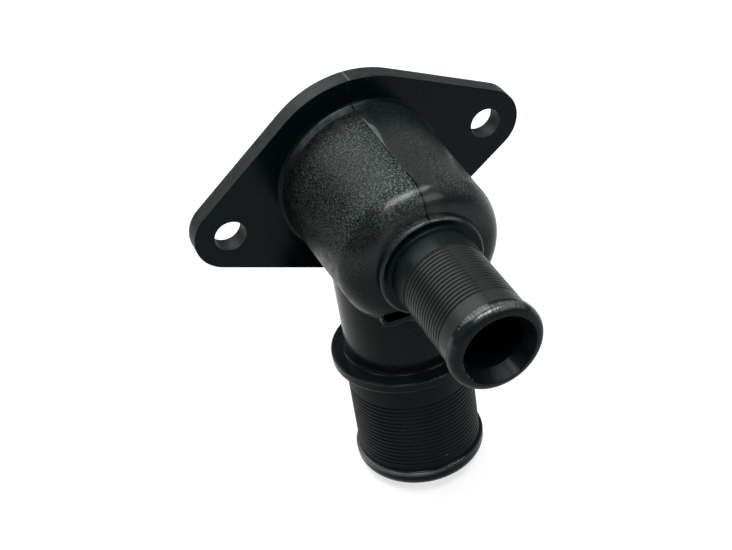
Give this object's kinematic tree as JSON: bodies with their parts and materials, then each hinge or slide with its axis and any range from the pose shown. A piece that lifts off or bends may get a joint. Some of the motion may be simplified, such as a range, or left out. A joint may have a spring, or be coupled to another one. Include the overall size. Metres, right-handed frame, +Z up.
{
  "type": "coolant flange",
  "caption": "Moulded black plastic coolant flange with a bolted plate, a round chamber, a small hose spigot ahead and a large hose spigot leading down.",
  "frame": {"origin": "where the chamber's axis meets the flange's sealing face", "axes": "+Y out of the sealing face towards the engine, +Z up with the large spigot leading down, +X towards the higher bolt lug"},
  "size_m": [0.0952, 0.0845, 0.112],
  "materials": {
    "black_nylon": "fine spark-eroded grain on the chamber and neck, smoother satin on the spigots",
    "seal_rubber": "matt"
  },
  "bodies": {
    "root": {"flange_body": "black_nylon", "seal_ring": "seal_rubber"}
  },
  "joints": []
}
